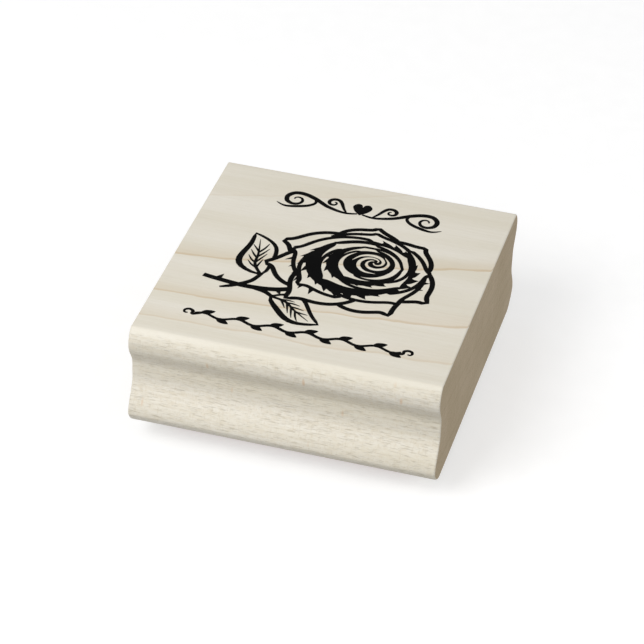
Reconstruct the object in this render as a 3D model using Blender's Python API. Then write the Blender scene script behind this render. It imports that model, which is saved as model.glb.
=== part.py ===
"""A wood-mounted rubber art stamp, modelled as the pieces that it is glued together from.

The maple block's grain runs along X, and its grooved sides, which the fingers hold, face -Y and +Y.
+Z is up. The origin is under the middle of the block, on the plane that the raised rubber stands on.
Lengths are in millimetres until a mesh is made.
"""

import math

import bpy
import numpy as np
from mathutils import Vector
from mathutils.geometry import delaunay_2d_cdt

MM = 0.001

# The block: a length of 1 inch moulding, with the same section from end to end
BLOCK_LENGTH = 67.6
BLOCK_HEIGHT = 25.4
UNDERSIDE_HALF_DEPTH = 31.6
FLARE_HALF_DEPTH, FLARE_HEIGHT = 36.3, 4.1
WAIST_HALF_DEPTH, WAIST_LOW, WAIST_HIGH = 33.3, 12.0, 15.2
SHOULDER_HALF_DEPTH, SHOULDER_LOW, SHOULDER_HIGH = 35.7, 21.4, 22.4
TOP_HALF_DEPTH = 33.6
ROUNDING = 4 / 3          # 1 is an ellipse's quarter, and more is flatter at the corner
ROUND_STEPS = 5
SWEEP_STEPS = 6
END_EASE = 0.3            # the sawn ends' edges are sanded by this much

# The layers under the block
ADHESIVE = 0.1
FOAM = 1.6                # 1/16 inch cushion
RUBBER_BASE = 1.3
RELIEF = 1.0              # engraved depth, so the rubber is 2.3 thick in all
GAP = 0.03                # between neighbouring layers
DIE_HALF_LENGTH, DIE_HALF_DEPTH = 27.6, 27.9
DIE_CORNER = 2.5
CORNER_STEPS = 5

# The printed artwork: its film is drawn thicker than real ink
INK = 0.08
INK_GAP = 0.02
HEART = (8.8, 5.4)            # the bud's middle
FLOWER_CENTRE = (5.4, 1.2)    # the middle of the outermost petals
FLOWER_REACH = 18.0
TILT = 0.90                   # the flower leans back, so it is a little shorter than it is wide
DARK_SIDE = 225                # the direction of the flower's shaded side, in degrees
CURVE_STEP = 0.6
SMALLEST_ISLAND = 8.0         # square millimetres: smaller specks of ink are left out
OUTLINE_TOLERANCE = 0.13
NEAR = 0.03                   # points closer than this are one point

# Heights above the origin
DIE_BACK = RELIEF + RUBBER_BASE
DIE_ADHESIVE_BOTTOM = DIE_BACK + GAP
FOAM_BOTTOM = DIE_ADHESIVE_BOTTOM + ADHESIVE + GAP
BLOCK_ADHESIVE_BOTTOM = FOAM_BOTTOM + FOAM + GAP
BLOCK_BOTTOM = BLOCK_ADHESIVE_BOTTOM + ADHESIVE + GAP
BLOCK_TOP = BLOCK_BOTTOM + BLOCK_HEIGHT


# ---------------------------------------------------------------- curves and outlines

def smooth(points):
    """A Catmull-Rom curve through the points, open at its ends."""
    ends = [points[0], *points, points[-1]]
    made = []
    for four in zip(ends, ends[1:], ends[2:], ends[3:]):
        parts = max(2, math.ceil(math.dist(four[1], four[2]) / CURVE_STEP))
        for i in range(parts):
            t = i / parts
            made.append(tuple(
                q + t * (r - p) / 2
                + t**2 * (2 * p - 5 * q + 4 * r - s) / 2
                + t**3 * (3 * q - p - 3 * r + s) / 2
                for p, q, r, s in zip(*four)))
    return [*made, tuple(points[-1])]


def stroke(points, width, start=0.1, end=0.1, peak=0.5):
    """A brush stroke's outline along a curve: width across at its peak, start and end at its ends."""
    line = smooth(points)
    last = len(line) - 1
    left, right = [], []
    for i, (x, y) in enumerate(line):
        before, after = line[max(i - 1, 0)], line[min(i + 1, last)]
        dx, dy = after[0] - before[0], after[1] - before[1]
        length = math.hypot(dx, dy)
        t = i / last
        edge, share = (start, t / peak) if t < peak else (end, (1 - t) / (1 - peak))
        half = (edge + (width - edge) * math.sin(math.pi / 2 * share)) / 2
        nx, ny = -dy / length * half, dx / length * half
        left.append((x + nx, y + ny))
        right.append((x - nx, y - ny))
    return left + right[::-1]


def grown(outline, reach):
    """An anticlockwise outline moved outwards by reach."""
    made = []
    for i, (x, y) in enumerate(outline):
        (x0, y0), (x1, y1) = outline[i - 1], outline[(i + 1) % len(outline)]
        direction = math.atan2(x0 - x1, y1 - y0)
        made.append((x + reach * math.cos(direction), y + reach * math.sin(direction)))
    return made


def rounded_rectangle(half_x, half_y, radius):
    made = []
    for quarter, (sx, sy) in enumerate([(1, 1), (-1, 1), (-1, -1), (1, -1)]):
        for i in range(CORNER_STEPS + 1):
            a = math.pi / 2 * (quarter + i / CORNER_STEPS)
            made.append((
                sx * (half_x - radius) + radius * math.cos(a),
                sy * (half_y - radius) + radius * math.sin(a)))
    return made


# ---------------------------------------------------------------- the rose

def on_flower(r, angle):
    """The point r out from the flower's heart. Larger circles are centred nearer the flower's centre."""
    share = r / FLOWER_REACH
    a = math.radians(angle)
    return (
        HEART[0] + (FLOWER_CENTRE[0] - HEART[0]) * share + r * math.cos(a),
        HEART[1] + (FLOWER_CENTRE[1] - HEART[1]) * share + TILT * r * math.sin(a))


def petal(angle, spread, reach, lean, tip):
    """A petal that spans spread degrees either side of angle, with its tip at lean, from -1 to 1."""
    root = 0.45
    steps = int(math.radians(2 * spread) * reach / CURVE_STEP)
    made = []
    for i in range(steps + 1):
        f = 2 * i / steps - 1
        rim = root + (1 - root) * max(0.0, math.cos(math.pi / 2 * f)) ** 0.4
        point = tip * math.exp(-abs(f - lean) / 0.09)
        made.append(on_flower(reach * rim + point, angle + spread * f))
    return [*made, on_flower(reach * root * 0.35, angle)]


def lip(first, span, r, width, tip):
    """The folded edge of an inner petal: a crescent that winds outwards over span degrees from first."""
    steps = int(math.radians(span) * r / CURVE_STEP)
    outer, inner = [], []
    for i in range(steps + 1):
        t = i / steps
        half = width / 2 * math.sin(math.pi * t) ** 0.9
        point = tip * math.exp(-abs(t - 0.6) / 0.04)
        middle = r + (t - 0.5) * 0.9 * width
        outer.append(on_flower(middle + half + point * math.sin(math.pi * t), first + span * t))
        inner.append(on_flower(middle - half, first + span * t))
    return outer + inner[-2:0:-1]


def spikes(first, last, r, count, length):
    """Tapering strokes of shade that stand on a ring round the heart and curve outwards."""
    made = []
    width = (last - first) / count * 1.3
    for i in range(count):
        share = (i + 0.5) / count
        a = first + (last - first) * share
        far = length * (0.6 + 0.4 * math.sin(math.pi * share) + 0.3 * math.sin(7.3 * i))
        tip = on_flower(r + far, a + 0.5 * width)
        falling = [on_flower(r - 0.6, a + 0.6 * width), on_flower(r + 0.3 * far, a + 0.42 * width), tip]
        rising = [tip, on_flower(r + 0.35 * far, a - 0.1 * width), on_flower(r - 0.6, a - 0.5 * width)]
        made.append((smooth(falling) + smooth(rising)[1:], True))
    return made


def dark_area(r):
    """A round inked area about the heart that reaches further towards the flower's dark side."""
    outline = []
    for angle in range(0, 360, 5):
        far = r * (1 + 0.07 * math.cos(math.radians(angle - DARK_SIDE)))
        outline.append(on_flower(far, angle))
    return (outline, True)


# Each outer petal's angle, spread, reach, lean and tip
OUTER_PETALS = [
    (95, 38, 16.4, -0.2, 2.0), (150, 40, 16.8, 0.2, 2.0), (40, 40, 16.4, 0.2, 2.0),
    (-16, 38, 17.0, -0.2, 2.3), (203, 42, 17.4, -0.3, 2.0), (-68, 40, 17.0, 0.35, 2.3),
    (-118, 42, 17.0, -0.15, 2.2)]


def outlined(outline, line):
    """A black line across round a bare shape."""
    return [(grown(outline, line), True), (outline, False)]


def ring(r, count, width, tip, turn, line):
    """Folded petals that wind round the heart and overlap, with a dark area under them."""
    span = 1.5 * 360 / count
    shapes = [dark_area(r)]
    for i in range(count):
        uneven = 1 + 0.15 * math.sin(2.6 * i + turn)
        shapes += outlined(lip(turn + 360 * i / count, span * uneven, r, width * uneven, tip), line)
    return shapes


def flower():
    """The flower from its outermost petals in to the bud: each shape covers part of those before it."""
    shapes = []
    for shape in OUTER_PETALS:
        shapes += outlined(petal(*shape), 1.15)
    shapes += spikes(140, 240, 12.9, 9, 3.2) + spikes(-40, 45, 12.9, 7, 2.8) + spikes(70, 130, 12.6, 6, 2.4)
    shapes += ring(12.4, 5, 2.6, 1.5, 25, 1.0)
    shapes += [dark_area(11.6), *spikes(150, 300, 11.4, 11, 2.2), *spikes(-50, 80, 11.2, 9, 1.8)]
    shapes += ring(8.9, 4, 1.9, 0.9, 60, 0.9)
    shapes += [dark_area(8.2), *spikes(150, 330, 8.0, 9, 1.3)]
    shapes += ring(6.1, 3, 1.3, 0.5, 10, 0.7)
    shapes.append(dark_area(5.4))
    for turn in (0, 120, 240):
        swirl = [on_flower(0.5 + 0.47 * i, turn + 37 * i) for i in range(9)]
        shapes.append((stroke(swirl, 0.85, 0.25, 0.12, 0.55), False))
    return shapes


def leaf(base, tip, bulge, dark_side, veins):
    """A leaf from base to tip, bulge out on each side, with a midrib and side veins that join it."""
    (bx, by), (tx, ty) = base, tip
    length = math.dist(base, tip)
    ux, uy = (tx - bx) / length, (ty - by) / length

    def at(along, across):
        """The point a share of the way up the leaf, and across to its left."""
        forward = along * length
        left = across + 0.06 * length * math.sin(2 * math.pi * along)
        return (bx + ux * forward - uy * left, by + uy * forward + ux * left)

    def side(sign, extra):
        shares = [i / 14 for i in range(15)]
        return [at(s, sign * (bulge + extra) * math.sin(math.pi * s ** 0.8) ** 0.9) for s in shares]

    def whole(extra_right, extra_left):
        return side(-1, extra_right) + side(1, extra_left)[-2:0:-1]

    right, left = (0.75, 0.3) if dark_side < 0 else (0.3, 0.75)
    shapes = [
        (grown(whole(0, 0), 0.45), True),
        (grown(whole(-right, -left), -0.25), False),
        (stroke([at(s, 0) for s in (0, 0.25, 0.5, 0.85)], 0.75, 0.9, 0.1, 0.1), True)]
    for i in range(veins):
        foot = 0.16 + 0.5 * i / veins
        for sign in (-1, 1):
            far = sign * bulge * 0.52 * math.sin(math.pi * (foot + 0.14))
            bend = at(foot + 0.09, 0.5 * far)
            shapes.append((stroke([at(foot, 0), bend, at(foot + 0.2, far)], 0.5, 0.5, 0.1, 0.2), True))
    return shapes


def spray():
    """The stem, with its thorns and a side shoot, and the two leaves on it."""
    stem = [(-25.2, -10.9), (-21, -11.6), (-15, -12.2), (-9, -11.5), (-3.5, -9.2)]
    upper_stalk = [(-20.6, -14.2), (-18, -12.8), (-14.8, -10.0), (-13.4, -6.6)]
    lower_stalk = [(-14.5, -12.2), (-11.0, -12.9), (-8.6, -14.4)]
    shapes = [
        (stroke(stem, 1.5, 1.3, 1.5, 0.8), True),
        (stroke(upper_stalk, 1.2, 0.5, 0.9, 0.4), True),
        (stroke(lower_stalk, 1.2, 0.9, 0.9, 0.4), True),
        ([(-22.6, -11.0), (-21.0, -9.3), (-21.1, -11.4)], True),
        ([(-9.6, -11.2), (-7.6, -11.0), (-7.4, -13.2)], True)]
    shapes += leaf((-13.6, -7.0), (-19.0, 7.8), 4.0, 1, 4)
    shapes += leaf((-9.0, -14.2), (3.2, -21.0), 3.7, -1, 4)
    return shapes


# ---------------------------------------------------------------- the two ornaments

def volute(x, y, r, start, turns, direction):
    """The points of a spiral that winds in to x, y from r out at the start angle."""
    count = int(8 * turns) + 1
    made = []
    for i in range(count):
        t = i / (count - 1)
        a = math.radians(start + direction * 360 * turns * t)
        far = r * (1 - 0.82 * t)
        made.append((x + far * math.cos(a), y + far * math.sin(a)))
    return made


def bud(x, y, angle, length, width):
    """A small pointed leaf that grows from x, y."""
    a = math.radians(angle)
    ends = [(x + length * s * math.cos(a), y + length * s * math.sin(a)) for s in (0, 0.5, 1)]
    return (stroke(ends, width, 0.2, 0.1, 0.4), True)


def upper_ornament():
    """Two mirrored scrolls either side of a small heart."""
    shapes = []
    for side in (1, -1):
        def across(points):
            return [(0.5 + side * x, y) for x, y in points]

        long_scroll = [(0.6, 22.4), (3.5, 21.9), (7.5, 23.1), (11.0, 25.3)]
        long_scroll += volute(15.0, 23.8, 2.9, 115, 1.3, -1)
        short_scroll = [(3.0, 22.0), (4.0, 23.6)] + volute(6.6, 25.1, 1.7, 165, 1.2, -1)
        tail = [(11.0, 25.2), (10.6, 23.6), (12.3, 21.9), (16.5, 20.6), (19.0, 21.6)]
        shapes.append((stroke(across(long_scroll), 1.25, 0.5, 0.35, 0.5), True))
        shapes.append((stroke(across(short_scroll), 0.95, 0.4, 0.3, 0.5), True))
        shapes.append((stroke(across(tail), 0.95, 0.5, 0.15, 0.5), True))
        heart_half = [(0.0, 22.0), (1.5, 23.5), (2.2, 25.2), (1.4, 26.4), (0.4, 26.2), (0.0, 25.2)]
        shapes.append((smooth(across(heart_half)) + across([(-0.3, 24.0)]), True))
    return shapes


def lower_ornament():
    """A thin vine in waves, with small leaves in turn above and below, and a curl at each end."""
    half, waves, height, middle = 22.6, 6, 0.6, -25.1
    count = waves * 8

    def vine(t):
        return (half * (2 * t - 1), middle + height * math.sin(2 * math.pi * waves * t))

    line = [vine(i / count) for i in range(count + 1)]
    shapes = [(stroke(line, 0.85, 0.65, 0.65, 0.5), True)]
    for end in (1, -1):
        curl = volute(end * 24.2, middle, 1.4, 200 if end > 0 else -20, 0.9, -end)
        root = line[-3] if end > 0 else line[2]
        shapes.append((stroke([root, *curl], 0.75, 0.5, 0.35, 0.5), True))
    for i in range(2 * waves):
        x, y = vine((i + 0.5) / (2 * waves))
        up = 1 if i % 2 == 0 else -1
        shapes.append(bud(x - 0.6, y - 0.1 * up, 24 * up, 3.1, 1.6))
    return shapes


# ---------------------------------------------------------------- artwork to triangles

def triangulated(points, edges):
    """Triangles over the whole drawing that keep to the edges, and which of their sides are edges."""
    corners = [Vector(point) for point in points]
    made, lines, triangles, _, sources, _ = delaunay_2d_cdt(corners, edges, [], 0, NEAR, True)
    walls = {frozenset(line) for line, source in zip(lines, sources) if source}
    sides = {}
    for i, triangle in enumerate(triangles):
        for pair in sides_of(triangle):
            sides.setdefault(frozenset(pair), []).append(i)
    return [tuple(p) for p in made], [tuple(t) for t in triangles], sides, walls


def sides_of(loop):
    """The sides of a closed loop, each from one corner to the next."""
    return list(zip(loop, [*loop[1:], loop[0]]))


def covered(middles, outline):
    """Whether an outline, which may cross itself, winds round each of the points."""
    x, y = middles[:, 0], middles[:, 1]
    turns = np.zeros(len(middles), int)
    for (x0, y0), (x1, y1) in sides_of(outline):
        left = (x1 - x0) * (y - y0) - (x - x0) * (y1 - y0)
        turns += (y0 <= y) & (y < y1) & (left > 0)
        turns -= (y1 <= y) & (y < y0) & (left < 0)
    return turns != 0


def painted(shapes):
    """The shapes laid over each other in turn: points, triangles, which have ink, and their sides."""
    points, edges = [], []
    for outline, _ in shapes:
        edges += sides_of(range(len(points), len(points) + len(outline)))
        points += outline
    points, triangles, sides, _ = triangulated(points, edges)
    middles = np.array([[points[i] for i in triangle] for triangle in triangles]).mean(axis=1)
    inked = np.zeros(len(triangles), bool)
    for outline, ink in shapes:
        inked[covered(middles, outline)] = ink
    return points, triangles, inked, sides


def islands(triangles, sides, inked):
    """The inked triangles, in lists of those that join along their sides."""
    made, seen = [], set()
    for start in np.flatnonzero(inked):
        if start in seen:
            continue
        seen.add(start)
        island, ahead = [], [start]
        while ahead:
            i = ahead.pop()
            island.append(i)
            for pair in sides_of(triangles[i]):
                for j in sides[frozenset(pair)]:
                    if inked[j] and j not in seen:
                        seen.add(j)
                        ahead.append(j)
        made.append(island)
    return made


def area(points, triangle):
    (ax, ay), (bx, by), (cx, cy) = (points[i] for i in triangle)
    return abs((bx - ax) * (cy - ay) - (cx - ax) * (by - ay)) / 2


def without_specks(points, triangles, inked, sides):
    """Ink only where it is part of a whole piece of artwork."""
    for island in islands(triangles, sides, inked):
        if sum(area(points, triangles[i]) for i in island) < SMALLEST_ISLAND:
            inked[island] = False


def without_pinches(triangles, inked, sides):
    """Ink filled in where two inked corners would only touch at a point."""
    around = {}
    for i, triangle in enumerate(triangles):
        for corner in triangle:
            around.setdefault(corner, []).append(i)
    changed = True
    while changed:
        changed = False
        for corner, fan in around.items():
            crossings = 0
            for i in fan:
                for pair in sides_of(triangles[i]):
                    if corner in pair:
                        crossings += sum(inked[i] and not inked[j] for j in sides[frozenset(pair)])
            if crossings > 2:
                inked[fan] = True
                changed = True


def borders(triangles, inked, sides):
    """The closed loops of corners between ink and bare wood, with the ink on their left."""
    after = {}
    for i in np.flatnonzero(inked):
        for a, b in sides_of(triangles[i]):
            if any(not inked[j] for j in sides[frozenset((a, b))]):
                after[a] = b
    loops = []
    while after:
        first = next(iter(after))
        loop = [first]
        while after[loop[-1]] != first:
            loop.append(after.pop(loop[-1]))
        after.pop(loop[-1])
        loops.append(loop)
    return loops


def simplified(line):
    """The fewest points of an open line that keep within the tolerance of it."""
    (x0, y0), (x1, y1) = line[0], line[-1]
    length = math.hypot(x1 - x0, y1 - y0)
    far = [
        abs((x1 - x0) * (y - y0) - (x - x0) * (y1 - y0)) / length if length else math.hypot(x - x0, y - y0)
        for x, y in line]
    worst = max(range(len(line)), key=far.__getitem__)
    if far[worst] < OUTLINE_TOLERANCE:
        return [line[0], line[-1]]
    return simplified(line[:worst + 1])[:-1] + simplified(line[worst:])


def drawing(sheet, shapes):
    """The artwork on its sheet, with no more points than its outlines need."""
    points, triangles, inked, sides = painted([(sheet, False), *shapes])
    without_specks(points, triangles, inked, sides)
    without_pinches(triangles, inked, sides)
    corners, edges = list(sheet), sides_of(range(len(sheet)))
    for loop in borders(triangles, inked, sides):
        line = [points[i] for i in [*loop, loop[0]]]
        kept = simplified(line)[:-1]
        if len(kept) > 2:
            edges += sides_of(range(len(corners), len(corners) + len(kept)))
            corners += kept
    points, triangles, sides, walls = triangulated(corners, edges)
    inked = np.zeros(len(triangles), bool)
    outside = next(pair[0] for pair in sides.values() if len(pair) == 1)
    seen, ahead = {outside}, [outside]
    while ahead:
        i = ahead.pop()
        for pair in map(frozenset, sides_of(triangles[i])):
            for j in sides[pair]:
                if j not in seen:
                    seen.add(j)
                    inked[j] = inked[i] != (pair in walls)
                    ahead.append(j)
    without_pinches(triangles, inked, sides)
    return points, triangles, inked, sides


# ---------------------------------------------------------------- meshes and materials

def material(name, colour, roughness):
    made = bpy.data.materials.new(name)
    made.use_nodes = True
    shader = made.node_tree.nodes["Principled BSDF"]
    shader.inputs["Base Color"].default_value = (*colour, 1)
    shader.inputs["Roughness"].default_value = roughness
    shader.inputs["Metallic"].default_value = 0
    return made


def add_object(name, faces, height, looks, parent=None):
    """A named object with these faces, whose corners are (x, y, z) in millimetres from its underside."""
    corners = {}
    loops = [[corners.setdefault(corner, len(corners)) for corner in face] for face in faces]
    mesh = bpy.data.meshes.new(name)
    mesh.from_pydata([[MM * value for value in corner] for corner in corners], [], loops)
    mesh.materials.append(looks)
    mesh.shade_smooth()
    mesh.set_sharp_from_angle(angle=math.radians(35))
    made = bpy.data.objects.new(name, mesh)
    made.location.z = MM * height
    made.parent = parent
    bpy.context.collection.objects.link(made)
    return made


def upright(side, low, high):
    """The outward wall that stands on one side of an anticlockwise outline."""
    (ax, ay), (bx, by) = side
    return [(ax, ay, low), (bx, by, low), (bx, by, high), (ax, ay, high)]


def slab(outline, thickness):
    """A flat layer with its underside at 0."""
    bottom = [(x, y, 0) for x, y in reversed(outline)]
    top = [(x, y, thickness) for x, y in outline]
    return [bottom, top, *(upright(side, 0, thickness) for side in sides_of(outline))]


def moulding_section():
    """The block's section across the grain, anticlockwise as (depth, height)."""
    def sweep(start, end):
        (d0, h0), (d1, h1) = start, end
        shares = [i / SWEEP_STEPS for i in range(1, SWEEP_STEPS)]
        return [(d0 + (d1 - d0) * (1 - math.cos(math.pi * s)) / 2, h0 + (h1 - h0) * s) for s in shares]

    flare = (FLARE_HALF_DEPTH, FLARE_HEIGHT)
    waist = [(WAIST_HALF_DEPTH, height) for height in (WAIST_LOW, WAIST_HIGH)]
    shoulder = [(SHOULDER_HALF_DEPTH, height) for height in (SHOULDER_LOW, SHOULDER_HIGH)]
    angles = [math.pi / 2 * i / ROUND_STEPS for i in range(ROUND_STEPS + 1)]
    under_round = [(
        UNDERSIDE_HALF_DEPTH + (FLARE_HALF_DEPTH - UNDERSIDE_HALF_DEPTH) * math.sin(a) ** ROUNDING,
        FLARE_HEIGHT * (1 - math.cos(a) ** ROUNDING)) for a in angles[:-1]]
    top_round = [(
        TOP_HALF_DEPTH + (SHOULDER_HALF_DEPTH - TOP_HALF_DEPTH) * math.cos(a) ** ROUNDING,
        SHOULDER_HIGH + (BLOCK_HEIGHT - SHOULDER_HIGH) * math.sin(a) ** ROUNDING) for a in angles[1:-1]]
    top_round.append((TOP_HALF_DEPTH, BLOCK_HEIGHT))
    groove = [*sweep(flare, waist[0]), *waist, *sweep(waist[1], shoulder[0])]
    side = [*under_round, flare, *groove, *shoulder, *top_round]
    return side + [(-depth, height) for depth, height in reversed(side)]


def block():
    """The moulding between its two sawn ends, whose edges are eased."""
    section = moulding_section()
    eased = grown(section, -END_EASE)
    half = BLOCK_LENGTH / 2
    stations = [(-half, eased), (END_EASE - half, section), (half - END_EASE, section), (half, eased)]
    rings = [[(x, depth, height) for depth, height in outline] for x, outline in stations]
    faces = [rings[0][::-1], rings[-1]]
    for near, far in zip(rings, rings[1:]):
        for (a, b), (c, d) in zip(sides_of(near), sides_of(far)):
            faces.append([a, b, d, c])
    return faces


def print_film(points, triangles, sides, island):
    """One connected piece of the artwork, as a film of ink."""
    faces = []
    for i in island:
        corners = [points[j] for j in triangles[i]]
        faces += [[(x, y, 0) for x, y in reversed(corners)], [(x, y, INK) for x, y in corners]]
        for pair, ends in zip(sides_of(triangles[i]), sides_of(corners)):
            if not all(j in island for j in sides[frozenset(pair)]):
                faces.append(upright(ends, 0, INK))
    return faces


def die(sheet, points, triangles, inked, sides):
    """The engraved rubber: the inked artwork stands down to 0, and the rest is cut back to the base."""
    faces = [[(x, y, DIE_BACK) for x, y in sheet]]
    faces += [upright(side, RELIEF, DIE_BACK) for side in sides_of(sheet)]
    for i, triangle in enumerate(triangles):
        corners = [points[j] for j in triangle]
        level = 0 if inked[i] else RELIEF
        faces.append([(x, y, level) for x, y in reversed(corners)])
        for pair, ends in zip(sides_of(triangle), sides_of(corners)):
            if inked[i] and not all(inked[j] for j in sides[frozenset(pair)]):
                faces.append(upright(ends, 0, RELIEF))
    return faces


def main():
    for old in list(bpy.data.objects):
        bpy.data.objects.remove(old, do_unlink=True)

    maple = material("maple", (0.76, 0.68, 0.55), 0.55)
    tape = material("clear_adhesive", (0.78, 0.76, 0.70), 0.35)
    cushion = material("grey_foam", (0.30, 0.31, 0.33), 0.9)
    rubber = material("red_rubber", (0.36, 0.10, 0.08), 0.6)
    black_ink = material("black_ink", (0.008, 0.008, 0.009), 0.6)

    sheet = rounded_rectangle(DIE_HALF_LENGTH, DIE_HALF_DEPTH, DIE_CORNER)
    artwork = drawing(sheet, spray() + flower() + upper_ornament() + lower_ornament())
    points, triangles, inked, sides = artwork

    add_object("wood_block", block(), BLOCK_BOTTOM, maple)
    add_object("block_adhesive", slab(sheet, ADHESIVE), BLOCK_ADHESIVE_BOTTOM, tape)
    add_object("foam_cushion", slab(sheet, FOAM), FOAM_BOTTOM, cushion)

    # The die and its adhesive move up together, on a line through the origin, as the cushion is pressed
    press = bpy.data.objects.new("die_press", None)
    bpy.context.collection.objects.link(press)
    add_object("die_adhesive", slab(sheet, ADHESIVE), DIE_ADHESIVE_BOTTOM, tape, press)
    add_object("rubber_die", die(sheet, *artwork), 0, rubber, press)

    def middle(island):
        return sum(points[j][1] for i in island for j in triangles[i]) / len(island)

    prints = sorted(map(set, islands(triangles, sides, inked)), key=middle)
    for name, island in zip(["lower_ornament", "rose", "upper_ornament"], prints, strict=True):
        film = print_film(points, triangles, sides, island)
        add_object(name + "_print", film, BLOCK_TOP + INK_GAP, black_ink)


main()
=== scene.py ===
import math

import bpy
import numpy as np
from mathutils import Matrix, Vector
from mathutils.geometry import delaunay_2d_cdt
from mathutils.kdtree import KDTree


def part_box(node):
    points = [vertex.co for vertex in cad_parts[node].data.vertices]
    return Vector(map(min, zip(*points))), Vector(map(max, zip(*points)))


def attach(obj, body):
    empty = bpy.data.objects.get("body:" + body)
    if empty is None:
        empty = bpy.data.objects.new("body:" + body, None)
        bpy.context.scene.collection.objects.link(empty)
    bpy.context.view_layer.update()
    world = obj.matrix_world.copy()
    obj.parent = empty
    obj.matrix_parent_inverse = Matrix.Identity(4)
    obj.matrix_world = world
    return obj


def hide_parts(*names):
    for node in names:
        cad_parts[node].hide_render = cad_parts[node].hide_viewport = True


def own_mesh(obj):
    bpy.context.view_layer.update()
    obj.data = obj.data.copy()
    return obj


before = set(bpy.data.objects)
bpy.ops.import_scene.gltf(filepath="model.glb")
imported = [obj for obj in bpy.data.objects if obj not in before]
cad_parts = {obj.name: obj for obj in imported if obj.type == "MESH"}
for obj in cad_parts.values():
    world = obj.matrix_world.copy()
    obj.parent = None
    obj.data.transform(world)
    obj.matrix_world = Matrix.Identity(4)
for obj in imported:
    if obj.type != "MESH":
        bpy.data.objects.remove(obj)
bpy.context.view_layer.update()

MM = 0.001


def millimetres(node):
    """The low and high corners of a CAD node's box, in millimetres."""
    low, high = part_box(node)
    return low / MM, high / MM


BLOCK_LOW, BLOCK_HIGH = millimetres("wood_block")
FOAM_LOW, FOAM_HIGH = millimetres("foam_cushion")
_, DIE_HIGH = millimetres("rubber_die")
BLOCK_LENGTH, BLOCK_HEIGHT = BLOCK_HIGH.x - BLOCK_LOW.x, BLOCK_HIGH.z - BLOCK_LOW.z

# The block's section: half depths across the grain, and heights over its underside
UNDERSIDE_HALF_DEPTH = 31.6
FLARE_HALF_DEPTH, FLARE_HEIGHT = 36.3, 4.1
WAIST_HALF_DEPTH, WAIST_LOW, WAIST_HIGH = 33.3, 12.0, 15.2
SHOULDER_HALF_DEPTH, SHOULDER_LOW, SHOULDER_HIGH = 35.7, 21.4, 22.4
TOP_HALF_DEPTH = 33.6
ROUNDING = 4 / 3          # 1 is an ellipse's quarter, and more is flatter at the corner
ROUND_STEPS = 24
SWEEP_STEPS = 30
FLAT_EDGE = 1.0           # the strip beside each rounding that is shaded with it
END_EASE = 0.35           # the sanded edges of the sawn ends
END_EDGE = 0.15           # the strip of each sawn end that is shaded with its sanded edge
EASE_STEPS = 5
END_GRAIN_STRIPS = 2      # from each end, the strips that show end grain

# The wood's growth rings: how far back from the middle each ends, at the top face's height, and how dark its
# line is. The rings fall towards the back, so those that end in front of the block show lower down.
RING_LINES = [(-28.0, 0.55), (-17.2, 0.9), (1.0, 1.0), (30.0, 0.25)]
RING_LINES += [(-52.0, 0.5), (-79.0, 0.7), (-101.0, 0.5), (-128.0, 0.7), (-153.0, 0.5)]
RING_FALL = 6.0           # how much further back a ring is for each millimetre down

# The layers under the block
FOAM_ROWS = 9
FOAM_STEP = 0.8           # between the points along the cushion's edge
FOAM_INSET = 0.05         # the cushion's edge is this far in from the sheet's, and more at mid height
FOAM_HOLLOW = 0.16
RELIEF = 1.0
SLOPE = 0.14              # how much wider the raised lines are at their foot, on each side
NEIGHBOURHOOD = 3 * SLOPE
NEIGHBOUR_SHARE = 0.3     # of the way to a neighbour's edge, which is as far as a foot may reach
SAME_EDGE = 12            # corners no more than this many along an edge aren't a neighbour's
DIE_CORNER = 2.5
CORNER_STEPS = 14

# The artwork
INK = 0.03                    # the printed film's thickness
INK_GAP = 0.012               # between the wood and the film
HEART = (8.8, 5.4)            # the bud's middle
FLOWER_CENTRE = (5.4, 1.2)    # the middle of the outermost petals
FLOWER_REACH = 18.0
TILT = 0.90                   # the flower leans back, so it is a little shorter than it is wide
DARK_SIDE = 225               # the direction of the flower's shaded side, in degrees
CURVE_STEP = 0.22
SMALLEST_ISLAND = 8.0         # square millimetres: smaller specks of ink are left out
OUTLINE_TOLERANCE = 0.012
NEAR = 0.004                  # points closer than this are one point

# The camera: angles in degrees, lengths in millimetres
CAMERA_AZIMUTH, CAMERA_ELEVATION, CAMERA_ROLL = 14.77, 35.57, 2.17
CAMERA_DISTANCE = 622.65
CAMERA_LENS, CAMERA_SENSOR = 159.38, 36.0
CAMERA_TARGET = Vector((-0.614, -2.612, BLOCK_LOW.z + 12.7))
CAMERA_CLIP = (0.01, 20.0)    # metres

# The studio, in metres and watts
WORLD_LIGHT = 0.425
SOFTBOX_SIZE = 0.5
SOFTBOXES = [
    ("key", (-0.40, -0.60, 0.70), 5.2),
    ("steep_front", (0.0, -0.42, 0.92), 0.85),
    ("low_front", (0.0, -0.85, 0.45), 0.63),
    ("right", (0.90, -0.20, 0.50), 1.46)]
FLOOR_REACH = 3.0
FLOOR_DROP = 0.02 * MM        # keeps the floor and the printing face apart
FLOOR_GLOW = 0.5


# ---------------------------------------------------------------- curves and outlines

def smooth(points):
    """A Catmull-Rom curve through the points, open at its ends."""
    ends = [points[0], *points, points[-1]]
    made = []
    for four in zip(ends, ends[1:], ends[2:], ends[3:]):
        parts = max(2, math.ceil(math.dist(four[1], four[2]) / CURVE_STEP))
        for i in range(parts):
            t = i / parts
            made.append(tuple(
                q + t * (r - p) / 2
                + t**2 * (2 * p - 5 * q + 4 * r - s) / 2
                + t**3 * (3 * q - p - 3 * r + s) / 2
                for p, q, r, s in zip(*four)))
    return [*made, tuple(points[-1])]


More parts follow.
